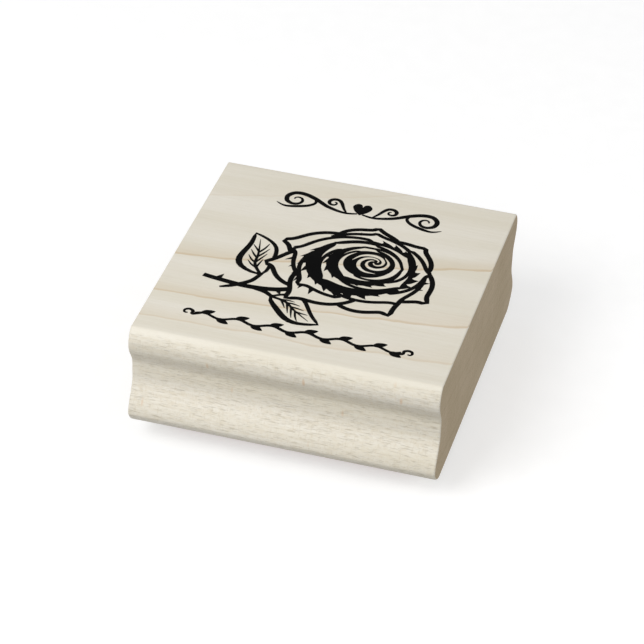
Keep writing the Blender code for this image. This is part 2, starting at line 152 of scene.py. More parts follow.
def stroke(points, width, start=0.1, end=0.1, peak=0.5):
    """A brush stroke's outline along a curve: width across at its peak, start and end at its ends."""
    line = smooth(points)
    last = len(line) - 1
    left, right = [], []
    for i, (x, y) in enumerate(line):
        before, after = line[max(i - 1, 0)], line[min(i + 1, last)]
        dx, dy = after[0] - before[0], after[1] - before[1]
        length = math.hypot(dx, dy)
        t = i / last
        edge, share = (start, t / peak) if t < peak else (end, (1 - t) / (1 - peak))
        half = (edge + (width - edge) * math.sin(math.pi / 2 * share)) / 2
        nx, ny = -dy / length * half, dx / length * half
        left.append((x + nx, y + ny))
        right.append((x - nx, y - ny))
    return left + right[::-1]


def outward(outline):
    """The outward direction at each point of an anticlockwise outline, in radians."""
    made = []
    for i in range(len(outline)):
        (x0, y0), (x1, y1) = outline[i - 1], outline[(i + 1) % len(outline)]
        made.append(math.atan2(x0 - x1, y1 - y0))
    return made


def grown(outline, reach):
    """An anticlockwise outline moved outwards by reach."""
    return [
        (x + reach * math.cos(direction), y + reach * math.sin(direction))
        for (x, y), direction in zip(outline, outward(outline))]


def sides_of(loop):
    """The sides of a closed loop, each from one corner to the next."""
    return list(zip(loop, [*loop[1:], loop[0]]))


def divided(outline, step):
    """The outline with its long sides cut into steps."""
    made = []
    for (x0, y0), (x1, y1) in sides_of(outline):
        parts = max(1, math.ceil(math.hypot(x1 - x0, y1 - y0) / step))
        made += [(x0 + (x1 - x0) * k / parts, y0 + (y1 - y0) * k / parts) for k in range(parts)]
    return made


def rounded_rectangle(half_x, half_y, radius):
    """A rectangle round the origin with rounded corners, anticlockwise."""
    made = []
    for quarter, (sx, sy) in enumerate([(1, 1), (-1, 1), (-1, -1), (1, -1)]):
        for i in range(CORNER_STEPS + 1):
            a = math.pi / 2 * (quarter + i / CORNER_STEPS)
            made.append((
                sx * (half_x - radius) + radius * math.cos(a),
                sy * (half_y - radius) + radius * math.sin(a)))
    return made


# ---------------------------------------------------------------- the rose

def on_flower(r, angle):
    """The point r out from the flower's heart. Larger circles are centred nearer the flower's centre."""
    share = r / FLOWER_REACH
    a = math.radians(angle)
    return (
        HEART[0] + (FLOWER_CENTRE[0] - HEART[0]) * share + r * math.cos(a),
        HEART[1] + (FLOWER_CENTRE[1] - HEART[1]) * share + TILT * r * math.sin(a))


def petal(angle, spread, reach, lean, tip):
    """A petal that spans spread degrees either side of angle, with its tip at lean, from -1 to 1."""
    root = 0.45
    steps = int(math.radians(2 * spread) * reach / CURVE_STEP)
    made = []
    for i in range(steps + 1):
        f = 2 * i / steps - 1
        rim = root + (1 - root) * max(0.0, math.cos(math.pi / 2 * f)) ** 0.4
        point = tip * math.exp(-abs(f - lean) / 0.09)
        made.append(on_flower(reach * rim + point, angle + spread * f))
    return [*made, on_flower(reach * root * 0.35, angle)]


def lip(first, span, r, width, tip):
    """The folded edge of an inner petal: a crescent that winds outwards over span degrees from first."""
    steps = int(math.radians(span) * r / CURVE_STEP)
    outer, inner = [], []
    for i in range(steps + 1):
        t = i / steps
        half = width / 2 * math.sin(math.pi * t) ** 0.9
        point = tip * math.exp(-abs(t - 0.6) / 0.04)
        middle = r + (t - 0.5) * 0.9 * width
        outer.append(on_flower(middle + half + point * math.sin(math.pi * t), first + span * t))
        inner.append(on_flower(middle - half, first + span * t))
    return outer + inner[-2:0:-1]


def spikes(first, last, r, count, length):
    """Tapering strokes of shade that stand on a ring round the heart and curve outwards."""
    made = []
    width = (last - first) / count * 1.3
    for i in range(count):
        share = (i + 0.5) / count
        a = first + (last - first) * share
        far = length * (0.6 + 0.4 * math.sin(math.pi * share) + 0.3 * math.sin(7.3 * i))
        tip = on_flower(r + far, a + 0.5 * width)
        falling = [on_flower(r - 0.6, a + 0.6 * width), on_flower(r + 0.3 * far, a + 0.42 * width), tip]
        rising = [tip, on_flower(r + 0.35 * far, a - 0.1 * width), on_flower(r - 0.6, a - 0.5 * width)]
        made.append((smooth(falling) + smooth(rising)[1:], True))
    return made


def dark_area(r):
    """A round inked area about the heart that reaches further towards the flower's dark side."""
    outline = []
    for angle in range(0, 360, 5):
        far = r * (1 + 0.07 * math.cos(math.radians(angle - DARK_SIDE)))
        outline.append(on_flower(far, angle))
    return (outline, True)


# Each outer petal's angle, spread, reach, lean and tip
OUTER_PETALS = [
    (95, 38, 16.4, -0.2, 2.0), (150, 40, 16.8, 0.2, 2.0), (40, 40, 16.4, 0.2, 2.0),
    (-16, 38, 17.0, -0.2, 2.3), (203, 42, 17.4, -0.3, 2.0), (-68, 40, 17.0, 0.35, 2.3),
    (-118, 42, 17.0, -0.15, 2.2)]


def outlined(outline, line):
    """A black line across round a bare shape."""
    return [(grown(outline, line), True), (outline, False)]


def ring(r, count, width, tip, turn, line):
    """Folded petals that wind round the heart and overlap, with a dark area under them."""
    span = 1.5 * 360 / count
    shapes = [dark_area(r)]
    for i in range(count):
        uneven = 1 + 0.15 * math.sin(2.6 * i + turn)
        shapes += outlined(lip(turn + 360 * i / count, span * uneven, r, width * uneven, tip), line)
    return shapes


def flower():
    """The flower from its outermost petals in to the bud: each shape covers part of those before it."""
    shapes = []
    for shape in OUTER_PETALS:
        shapes += outlined(petal(*shape), 1.15)
    shapes += spikes(140, 240, 12.9, 9, 3.2) + spikes(-40, 45, 12.9, 7, 2.8) + spikes(70, 130, 12.6, 6, 2.4)
    shapes += ring(r=12.4, count=5, width=2.6, tip=1.5, turn=25, line=1.0)
    shapes += [dark_area(11.6), *spikes(150, 300, 11.4, 11, 2.2), *spikes(-50, 80, 11.2, 9, 1.8)]
    shapes += ring(r=8.9, count=4, width=1.9, tip=0.9, turn=60, line=0.9)
    shapes += [dark_area(8.2), *spikes(150, 330, 8.0, 9, 1.3)]
    shapes += ring(r=6.1, count=3, width=1.3, tip=0.5, turn=10, line=0.7)
    shapes.append(dark_area(5.4))
    for turn in (0, 120, 240):
        swirl = [on_flower(0.5 + 0.47 * i, turn + 37 * i) for i in range(9)]
        shapes.append((stroke(swirl, 0.85, 0.25, 0.12, 0.55), False))
    return shapes


def leaf(base, tip, bulge, dark_side, veins):
    """A leaf from base to tip, bulge out on each side, with a midrib and side veins that join it."""
    (bx, by), (tx, ty) = base, tip
    length = math.dist(base, tip)
    ux, uy = (tx - bx) / length, (ty - by) / length

    def at(along, across):
        """The point a share of the way up the leaf, and across to its left."""
        forward = along * length
        left = across + 0.06 * length * math.sin(2 * math.pi * along)
        return (bx + ux * forward - uy * left, by + uy * forward + ux * left)

    def side(sign, extra):
        shares = [i / 14 for i in range(15)]
        return [at(s, sign * (bulge + extra) * math.sin(math.pi * s ** 0.8) ** 0.9) for s in shares]

    def whole(extra_right, extra_left):
        return side(-1, extra_right) + side(1, extra_left)[-2:0:-1]

    right, left = (0.75, 0.3) if dark_side < 0 else (0.3, 0.75)
    shapes = [
        (grown(whole(0, 0), 0.45), True),
        (grown(whole(-right, -left), -0.25), False),
        (stroke([at(s, 0) for s in (0, 0.25, 0.5, 0.85)], 0.75, 0.9, 0.1, 0.1), True)]
    for i in range(veins):
        foot = 0.16 + 0.5 * i / veins
        for sign in (-1, 1):
            far = sign * bulge * 0.52 * math.sin(math.pi * (foot + 0.14))
            bend = at(foot + 0.09, 0.5 * far)
            shapes.append((stroke([at(foot, 0), bend, at(foot + 0.2, far)], 0.5, 0.5, 0.1, 0.2), True))
    return shapes


def spray():
    """The stem, with its thorns and a side shoot, and the two leaves on it."""
    stem = [(-25.2, -10.9), (-21, -11.6), (-15, -12.2), (-9, -11.5), (-3.5, -9.2)]
    upper_stalk = [(-20.6, -14.2), (-18, -12.8), (-14.8, -10.0), (-13.4, -6.6)]
    lower_stalk = [(-14.5, -12.2), (-11.0, -12.9), (-8.6, -14.4)]
    shapes = [
        (stroke(stem, 1.5, 1.3, 1.5, 0.8), True),
        (stroke(upper_stalk, 1.2, 0.5, 0.9, 0.4), True),
        (stroke(lower_stalk, 1.2, 0.9, 0.9, 0.4), True),
        ([(-22.6, -11.0), (-21.0, -9.3), (-21.1, -11.4)], True),
        ([(-9.6, -11.2), (-7.6, -11.0), (-7.4, -13.2)], True)]
    shapes += leaf(base=(-13.6, -7.0), tip=(-19.0, 7.8), bulge=4.0, dark_side=1, veins=4)
    shapes += leaf(base=(-9.0, -14.2), tip=(3.2, -21.0), bulge=3.7, dark_side=-1, veins=4)
    return shapes


# ---------------------------------------------------------------- the two ornaments

def volute(x, y, r, start, turns, direction):
    """The points of a spiral that winds in to x, y from r out at the start angle."""
    count = int(8 * turns) + 1
    made = []
    for i in range(count):
        t = i / (count - 1)
        a = math.radians(start + direction * 360 * turns * t)
        far = r * (1 - 0.82 * t)
        made.append((x + far * math.cos(a), y + far * math.sin(a)))
    return made


def bud(x, y, angle, length, width):
    """A small pointed leaf that grows from x, y."""
    a = math.radians(angle)
    ends = [(x + length * s * math.cos(a), y + length * s * math.sin(a)) for s in (0, 0.5, 1)]
    return (stroke(ends, width, 0.2, 0.1, 0.4), True)


def upper_ornament():
    """Two mirrored scrolls either side of a small heart."""
    shapes = []
    for side in (1, -1):
        def across(points):
            return [(0.5 + side * x, y) for x, y in points]

        long_scroll = [(0.6, 22.4), (3.5, 21.9), (7.5, 23.1), (11.0, 25.3)]
        long_scroll += volute(15.0, 23.8, 2.9, 115, 1.3, -1)
        short_scroll = [(3.0, 22.0), (4.0, 23.6)] + volute(6.6, 25.1, 1.7, 165, 1.2, -1)
        tail = [(11.0, 25.2), (10.6, 23.6), (12.3, 21.9), (16.5, 20.6), (19.0, 21.6)]
        shapes.append((stroke(across(long_scroll), 1.25, 0.5, 0.35, 0.5), True))
        shapes.append((stroke(across(short_scroll), 0.95, 0.4, 0.3, 0.5), True))
        shapes.append((stroke(across(tail), 0.95, 0.5, 0.15, 0.5), True))
        heart_half = [(0.0, 22.0), (1.5, 23.5), (2.2, 25.2), (1.4, 26.4), (0.4, 26.2), (0.0, 25.2)]
        shapes.append((smooth(across(heart_half)) + across([(-0.3, 24.0)]), True))
    return shapes


def lower_ornament():
    """A thin vine in waves, with small leaves in turn above and below, and a curl at each end."""
    half, waves, height, middle = 22.6, 6, 0.6, -25.1
    count = waves * 8

    def vine(t):
        return (half * (2 * t - 1), middle + height * math.sin(2 * math.pi * waves * t))

    line = [vine(i / count) for i in range(count + 1)]
    shapes = [(stroke(line, 0.85, 0.65, 0.65, 0.5), True)]
    for end in (1, -1):
        curl = volute(end * 24.2, middle, 1.4, 200 if end > 0 else -20, 0.9, -end)
        root = line[-3] if end > 0 else line[2]
        shapes.append((stroke([root, *curl], 0.75, 0.5, 0.35, 0.5), True))
    for i in range(2 * waves):
        x, y = vine((i + 0.5) / (2 * waves))
        up = 1 if i % 2 == 0 else -1
        shapes.append(bud(x - 0.6, y - 0.1 * up, 24 * up, 3.1, 1.6))
    return shapes


# ---------------------------------------------------------------- artwork to triangles

def triangulated(points, edges):
    """Triangles over the whole drawing that keep to the edges, and which of their sides are edges."""
    corners = [Vector(point) for point in points]
    made, lines, triangles, _, sources, _ = delaunay_2d_cdt(corners, edges, [], 0, NEAR, True)
    walls = {frozenset(line) for line, source in zip(lines, sources) if source}
    sides = {}
    for i, triangle in enumerate(triangles):
        for pair in sides_of(triangle):
            sides.setdefault(frozenset(pair), []).append(i)
    return [tuple(p) for p in made], [tuple(t) for t in triangles], sides, walls


def covered(middles, outline):
    """Whether an outline, which may cross itself, winds round each of the points."""
    x, y = middles[:, 0], middles[:, 1]
    turns = np.zeros(len(middles), int)
    for (x0, y0), (x1, y1) in sides_of(outline):
        left = (x1 - x0) * (y - y0) - (x - x0) * (y1 - y0)
        turns += (y0 <= y) & (y < y1) & (left > 0)
        turns -= (y1 <= y) & (y < y0) & (left < 0)
    return turns != 0


def painted(shapes):
    """The shapes laid over each other in turn: points, triangles, which have ink, and their sides."""
    points, edges = [], []
    for outline, _ in shapes:
        edges += sides_of(range(len(points), len(points) + len(outline)))
        points += outline
    points, triangles, sides, _ = triangulated(points, edges)
    middles = np.array([[points[i] for i in triangle] for triangle in triangles]).mean(axis=1)
    inked = np.zeros(len(triangles), bool)
    for outline, ink in shapes:
        inked[covered(middles, outline)] = ink
    return points, triangles, inked, sides


def islands(triangles, sides, inked):
    """The inked triangles, in lists of those that join along their sides."""
    made, seen = [], set()
    for start in np.flatnonzero(inked):
        if start in seen:
            continue
        seen.add(start)
        island, ahead = [], [start]
        while ahead:
            i = ahead.pop()
            island.append(i)
            for pair in sides_of(triangles[i]):
                for j in sides[frozenset(pair)]:
                    if inked[j] and j not in seen:
                        seen.add(j)
                        ahead.append(j)
        made.append(island)
    return made


def area(points, triangle):
    """A triangle's area, in square millimetres."""
    (ax, ay), (bx, by), (cx, cy) = (points[i] for i in triangle)
    return abs((bx - ax) * (cy - ay) - (cx - ax) * (by - ay)) / 2


def without_specks(points, triangles, inked, sides):
    """Ink only where it is part of a whole piece of artwork."""
    for island in islands(triangles, sides, inked):
        if sum(area(points, triangles[i]) for i in island) < SMALLEST_ISLAND:
            inked[island] = False


def without_pinches(triangles, inked, sides):
    """Ink filled in where two inked corners would only touch at a point."""
    around = {}
    for i, triangle in enumerate(triangles):
        for corner in triangle:
            around.setdefault(corner, []).append(i)
    changed = True
    while changed:
        changed = False
        for corner, fan in around.items():
            crossings = 0
            for i in fan:
                for pair in sides_of(triangles[i]):
                    if corner in pair:
                        crossings += sum(inked[i] and not inked[j] for j in sides[frozenset(pair)])
            if crossings > 2:
                inked[fan] = True
                changed = True


def borders(triangles, inked, sides):
    """The closed loops of corners between ink and bare wood, with the ink on their left."""
    after = {}
    for i in np.flatnonzero(inked):
        for a, b in sides_of(triangles[i]):
            if any(not inked[j] for j in sides[frozenset((a, b))]):
                after[a] = b
    loops = []
    while after:
        first = next(iter(after))
        loop = [first]
        while after[loop[-1]] != first:
            loop.append(after.pop(loop[-1]))
        after.pop(loop[-1])
        loops.append(loop)
    return loops


def simplified(line):
    """The fewest points of an open line that keep within the tolerance of it."""
    (x0, y0), (x1, y1) = line[0], line[-1]
    length = math.hypot(x1 - x0, y1 - y0)
    far = [
        abs((x1 - x0) * (y - y0) - (x - x0) * (y1 - y0)) / length if length else math.hypot(x - x0, y - y0)
        for x, y in line]
    worst = max(range(len(line)), key=far.__getitem__)
    if far[worst] < OUTLINE_TOLERANCE:
        return [line[0], line[-1]]
    return simplified(line[:worst + 1])[:-1] + simplified(line[worst:])


def inked_between(triangles, sides, walls):
    """Which triangles have ink: none at the sheet's edge, and from there it changes across each wall."""
    made = np.zeros(len(triangles), bool)
    outside = next(pair[0] for pair in sides.values() if len(pair) == 1)
    seen, ahead = {outside}, [outside]
    while ahead:
        i = ahead.pop()
        for pair in map(frozenset, sides_of(triangles[i])):
            for j in sides[pair]:
                if j not in seen:
                    seen.add(j)
                    made[j] = made[i] != (pair in walls)
                    ahead.append(j)
    return made


def drawing(sheet, shapes):
    """The artwork on its sheet, with no more points than its outlines need."""
    points, triangles, inked, sides = painted([(sheet, False), *shapes])
    without_specks(points, triangles, inked, sides)
    without_pinches(triangles, inked, sides)
    corners, edges = list(sheet), sides_of(range(len(sheet)))
    for loop in borders(triangles, inked, sides):
        line = [points[i] for i in [*loop, loop[0]]]
        kept = simplified(line)[:-1]
        if len(kept) > 2:
            edges += sides_of(range(len(corners), len(corners) + len(kept)))
            corners += kept
    points, triangles, sides, walls = triangulated(corners, edges)
    inked = inked_between(triangles, sides, walls)
    without_pinches(triangles, inked, sides)
    return points, triangles, inked, sides


# ---------------------------------------------------------------- materials

class Shader:
    """A Principled material made of nodes, whose coordinates are millimetres in the object's own frame."""

    def __init__(self, name):
        self.material = bpy.data.materials.new(name)
        self.material.use_nodes = True
        self.tree = self.material.node_tree
        self.surface = self.tree.nodes["Principled BSDF"]
        metres = self.node("ShaderNodeTexCoord").outputs["Object"]
        self.place = self.node("ShaderNodeVectorMath", {0: metres, 3: 1 / MM}, operation="SCALE").outputs[0]
        self.x, self.y, self.z = self.node("ShaderNodeSeparateXYZ", {0: self.place}).outputs

    def node(self, kind, inputs=None, **settings):
        """A new node with these settings, and with its inputs linked or set."""
        made = self.tree.nodes.new(kind)
        for key, value in settings.items():
            setattr(made, key, value)
        for key, value in (inputs or {}).items():
            self.feed(made.inputs[key], value)
        return made

    def feed(self, socket, value):
        """Links the socket if value is another node's, and sets it otherwise."""
        if isinstance(value, bpy.types.NodeSocket):
            self.tree.links.new(value, socket)
        else:
            socket.default_value = value

    def math(self, operation, a, b=0.0, c=0.0):
        return self.node("ShaderNodeMath", {0: a, 1: b, 2: c}, operation=operation).outputs[0]

    def stretched(self, sx, sy, sz):
        """The place in millimetres with each direction scaled: a larger number makes finer detail."""
        scaled = self.node("ShaderNodeVectorMath", {0: self.place, 1: (sx, sy, sz)}, operation="MULTIPLY")
        return scaled.outputs[0]

    def noise(self, place, detail=3.0, roughness=0.5):
        made = self.node(
            "ShaderNodeTexNoise", {"Vector": place, "Scale": 1.0, "Detail": detail, "Roughness": roughness})
        return made.outputs["Fac"]

    def cells(self, place, randomness=1.0):
        return self.node(
            "ShaderNodeTexVoronoi", {"Vector": place, "Scale": 1.0, "Randomness": randomness}).outputs

    def span(self, value, low, high, start=0.0, end=1.0):
        """value taken from low..high to start..end, smoothly, and held there beyond."""
        made = self.node(
            "ShaderNodeMapRange",
            {"Value": value, "From Min": low, "From Max": high, "To Min": start, "To Max": end},
            interpolation_type="SMOOTHSTEP")
        return made.outputs["Result"]

    def mix(self, share, a, b):
        """The colour that is a where share is 0, and b where it is 1."""
        factor, first, second, result = 0, 6, 7, 2
        made = self.node("ShaderNodeMix", {factor: share, first: a, second: b}, data_type="RGBA")
        return made.outputs[result]

    def bump(self, height, depth):
        """Unevenness of this depth in millimetres for a height of 1."""
        made = self.node("ShaderNodeBump", {"Height": height, "Distance": depth * MM})
        return made.outputs["Normal"]

    def finish(self, **sockets):
        """Feeds the surface's inputs, with _ for the spaces in their names."""
        for name, value in sockets.items():
            self.feed(self.surface.inputs[name.replace("_", " ")], value)
        return self.material


def rgb(red, green, blue):
    """A colour from its sRGB values, 0 to 255."""
    linear = [((v / 255 + 0.055) / 1.055) ** 2.4 if v > 10 else v / 255 / 12.92 for v in (red, green, blue)]
    return (*linear, 1)


def maple_rings(shade):
    """How far back a point's growth ring is where it meets the top face's height, wandering a little."""
    wide_reach, fine_reach, narrowing, slant = 5.0, 1.2, -0.006, -0.2
    wide = shade.noise(shade.stretched(0.035, 0.05, 0.05), 2.0)
    fine = shade.noise(shade.stretched(0.16, 0.4, 0.4), 2.0)
    wander = shade.math("MULTIPLY_ADD", fine, fine_reach, -(wide_reach + fine_reach) / 2)
    wander = shade.math("MULTIPLY_ADD", wide, wide_reach, wander)
    spread = shade.math("MULTIPLY_ADD", shade.x, narrowing, 1.0)
    across = shade.math("MULTIPLY_ADD", shade.y, spread, wander)
    across = shade.math("MULTIPLY_ADD", shade.x, slant, across)
    below_top = shade.math("SUBTRACT", shade.z, BLOCK_HIGH.z)
    return shade.math("MULTIPLY_ADD", below_top, RING_FALL, across)


def ring_tone(shade, rings):
    """1 on the thin dark line that ends each growth ring, fading out over the millimetres behind it."""
    tone = 0.0
    for line, strength in RING_LINES:
        behind = shade.math("SUBTRACT", rings, line)
        edge = shade.span(behind, -0.35, 0.0)
        core = shade.span(behind, 0.7, 0.1, 0.0, 0.65)
        band = shade.span(behind, 6.0, 0.0, 0.0, 0.35)
        line_tone = shade.math("MULTIPLY", edge, shade.math("ADD", core, band))
        tone = shade.math("MULTIPLY_ADD", line_tone, strength, tone)
    return tone


def maple_side():
    """Pale, sanded hard maple, along the grain."""
    shade = Shader("maple_side_grain")
    rings = maple_rings(shade)
    below_top = shade.span(shade.z, BLOCK_HIGH.z - 0.25, BLOCK_HIGH.z - 1.8)
    over_foot = shade.span(shade.z, BLOCK_LOW.z + 0.1, BLOCK_LOW.z + 1.5)
    grooved = shade.math("MULTIPLY", below_top, over_foot)      # 1 on the front and the back
    broad = shade.noise(shade.stretched(0.012, 0.16, 0.16), 3.0)
    colour = shade.mix(shade.span(broad, 0.3, 0.7), rgb(234, 229, 217), rgb(227, 221, 205))

    streak = shade.noise(shade.stretched(0.03, 1.5, 1.5), 6.0, 0.68)
    streak_share = shade.math("MULTIPLY_ADD", grooved, 0.20, 0.12)
    streak_share = shade.math("MULTIPLY", shade.span(streak, 0.35, 0.72), streak_share)
    colour = shade.mix(streak_share, colour, rgb(203, 192, 168))

    line_share = shade.math("MULTIPLY_ADD", grooved, -0.5, 0.6)
    line_share = shade.math("MULTIPLY", ring_tone(shade, rings), line_share)
    colour = shade.mix(line_share, colour, rgb(203, 174, 130))

    mottle = shade.noise(shade.stretched(0.8, 1.5, 1.5), 4.0, 0.62)
    mottle_share = shade.math("MULTIPLY_ADD", grooved, 0.24, 0.04)
    mottle_share = shade.math("MULTIPLY", shade.span(mottle, 0.42, 0.66), mottle_share)
    colour = shade.mix(mottle_share, colour, rgb(212, 199, 171))

    rays = shade.noise(shade.stretched(2.6, 0.3, 0.9), 2.0, 0.6)
    ray_share = shade.math("MULTIPLY", shade.span(rays, 0.55, 0.70), shade.math("MULTIPLY", grooved, 0.24))
    colour = shade.mix(ray_share, colour, rgb(200, 186, 158))

    dash = shade.span(shade.noise(shade.stretched(0.5, 6.5, 6.5), 1.5), 0.56, 0.69)
    dash_share = shade.math("MULTIPLY", dash, shade.math("MULTIPLY_ADD", grooved, 0.32, 0.05))
    colour = shade.mix(dash_share, colour, rgb(154, 143, 120))

    flecks = shade.cells(shade.stretched(0.62, 0.03, 0.21), 0.9)
    rare = shade.node("ShaderNodeSeparateColor", {0: flecks["Color"]}).outputs[0]
    chosen = shade.math("MULTIPLY", shade.math("GREATER_THAN", rare, 0.90), grooved)
    fleck = shade.math("MULTIPLY", shade.span(flecks["Distance"], 0.30, 0.10, 0.0, 0.5), chosen)
    colour = shade.mix(fleck, colour, rgb(212, 174, 128))

    height = shade.math("MULTIPLY_ADD", dash_share, -2.0, shade.math("MULTIPLY", streak, 0.6))
    return shade.finish(
        Base_Color=colour, Roughness=shade.span(streak, 0.3, 0.7, 0.5, 0.62), Specular_IOR_Level=0.35,
        Normal=shade.bump(height, 0.035))


def maple_end():
    """The same maple across the grain, on the sawn ends."""
    shade = Shader("maple_end_grain")
    rings = maple_rings(shade)
    broad = shade.noise(shade.stretched(0.012, 0.06, 0.06), 3.0)
    colour = shade.mix(shade.span(broad, 0.3, 0.7), rgb(199, 182, 155), rgb(190, 173, 144))
    across_rings = shade.node("ShaderNodeCombineXYZ", {0: shade.math("MULTIPLY", rings, 0.38)}).outputs[0]
    fine_rings = shade.noise(across_rings, 4.0, 0.7)
    colour = shade.mix(shade.span(fine_rings, 0.38, 0.68, 0.0, 0.4), colour, rgb(168, 148, 119))
    colour = shade.mix(shade.math("MULTIPLY", ring_tone(shade, rings), 0.4), colour, rgb(140, 117, 86))
    along_ring = shade.math("MULTIPLY_ADD", shade.z, -1 / RING_FALL, shade.y)
    ray_place = shade.node("ShaderNodeCombineXYZ", {
        0: shade.math("MULTIPLY", along_ring, 2.5), 1: shade.math("MULTIPLY", rings, 0.02)})
    rays = shade.noise(ray_place.outputs[0], 2.0)
    colour = shade.mix(shade.span(rays, 0.5, 0.7, 0.0, 0.3), colour, rgb(216, 201, 174))
    pores = shade.noise(shade.stretched(0.4, 3.4, 3.4), 2.0, 0.6)
    colour = shade.mix(shade.span(pores, 0.56, 0.72, 0.0, 0.4), colour, rgb(120, 98, 70))
    sawn = shade.noise(shade.stretched(0.5, 0.12, 2.6), 3.0, 0.6)
    height = shade.math("MULTIPLY_ADD", sawn, 0.8, shade.math("MULTIPLY", pores, -1.0))
    return shade.finish(
        Base_Color=colour, Roughness=0.78, Specular_IOR_Level=0.25, Normal=shade.bump(height, 0.05))


def black_ink():
    """Dry black ink, a little thinner where the grain's pores took it in."""
    shade = Shader("black_ink")
    pores = shade.noise(shade.stretched(0.3, 5.0, 5.0), 2.0, 0.6)
    colour = shade.mix(shade.span(pores, 0.62, 0.76, 0.0, 0.4), rgb(9, 9, 9), rgb(40, 37, 33))
    patches = shade.noise(shade.stretched(0.25, 0.25, 0.25))
    roughness = shade.span(patches, 0.3, 0.7, 0.7, 0.85)
    return shade.finish(
        Base_Color=colour, Roughness=roughness, Specular_IOR_Level=0.06, Normal=shade.bump(pores, 0.01))


def red_rubber():
    """Laser-engraved stamp rubber: a smooth printing face, and a dull, dusty floor with fine scan lines."""
    shade = Shader("engraved_red_rubber")
    cut = shade.span(shade.z, 0.02, 0.12)
    mottle = shade.noise(shade.stretched(0.5, 0.5, 0.5), 5.0, 0.6)
    face = shade.mix(shade.span(mottle, 0.3, 0.7), rgb(150, 62, 52), rgb(138, 54, 46))
    floor = shade.mix(shade.span(mottle, 0.3, 0.7), rgb(171, 92, 78), rgb(156, 78, 66))
    scans = shade.node(
        "ShaderNodeTexWave",
        {"Vector": shade.place, "Scale": 1.6, "Distortion": 0.6, "Detail": 1.0}, bands_direction="Y")
    scan = shade.math("MULTIPLY", scans.outputs["Fac"], cut)
    colour = shade.mix(cut, face, floor)
    colour = shade.mix(shade.math("MULTIPLY", scan, 0.18), colour, rgb(124, 58, 50))
    roughness = shade.math("MULTIPLY_ADD", cut, 0.28, 0.5)
    grit = shade.noise(shade.stretched(6, 6, 6), 2.0)
    height = shade.math("MULTIPLY_ADD", grit, 0.6, scan)
    return shade.finish(
        Base_Color=colour, Roughness=roughness, Specular_IOR_Level=0.35, Normal=shade.bump(height, 0.03))


def grey_foam():
    """Closed-cell cushion foam, whose cut cells show on its edges, with painted shade darkening the middle
    of each cell's pit.
    """
    shade = Shader("grey_cushion_foam")
    large = shade.cells(shade.stretched(4.2, 4.2, 4.2))["Distance"]
    small = shade.cells(shade.stretched(9, 9, 9))["Distance"]
    depth = shade.math("MULTIPLY_ADD", small, 0.4, large)
    # painted shade: the colour is darker towards the middle of each cut cell, where its pit is deepest; the
    # same depth also drives the bump
    colour = shade.mix(shade.span(depth, 0.2, 0.9), rgb(92, 94, 97), rgb(146, 148, 150))
    cloudy = shade.noise(shade.stretched(0.12, 0.12, 0.5))
    colour = shade.mix(shade.span(cloudy, 0.35, 0.65, 0.0, 0.25), colour, rgb(120, 120, 118))
    return shade.finish(
        Base_Color=colour, Roughness=0.9, Specular_IOR_Level=0.2, Normal=shade.bump(depth, 0.12))


def adhesive_film():
    """Thin double-sided film with small trapped bubbles."""
    shade = Shader("adhesive_film")
    bubble = shade.span(shade.cells(shade.stretched(0.8, 0.8, 0.8))["Distance"], 0.22, 0.12)
    haze = shade.noise(shade.stretched(0.3, 0.3, 0.3), 4.0)
    colour = shade.mix(shade.span(haze, 0.3, 0.7), rgb(214, 208, 190), rgb(198, 190, 168))
    colour = shade.mix(shade.math("MULTIPLY", bubble, 0.5), colour, rgb(232, 229, 220))
    return shade.finish(Base_Color=colour, Roughness=0.32, Normal=shade.bump(bubble, 0.02))


# ---------------------------------------------------------------- meshes

def add_piece(name, faces, material, body, replaces, sharp=35, kinds=None, second=None):
    """A piece of the given faces, whose corners are (x, y, z) in millimetres, that rides on a body.

    kinds has 1 for each face of the second material, and 0 for the others.
    """
    corners = {}
    loops = [[corners.setdefault(corner, len(corners)) for corner in face] for face in faces]
    mesh = bpy.data.meshes.new(name)
    mesh.from_pydata([[MM * value for value in corner] for corner in corners], [], loops)
    mesh.materials.append(material)
    if second is not None:
        mesh.materials.append(second)
        mesh.polygons.foreach_set("material_index", kinds)
    mesh.shade_smooth()
    mesh.set_sharp_from_angle(angle=math.radians(sharp))
    made = bpy.data.objects.new(name, mesh)
    bpy.context.collection.objects.link(made)
    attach(made, body)
    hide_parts(replaces)
    return made


def upright(side, low, high):
    """The outward wall that stands on one side of an anticlockwise outline."""
    (ax, ay), (bx, by) = side
    return [(ax, ay, low), (bx, by, low), (bx, by, high), (ax, ay, high)]


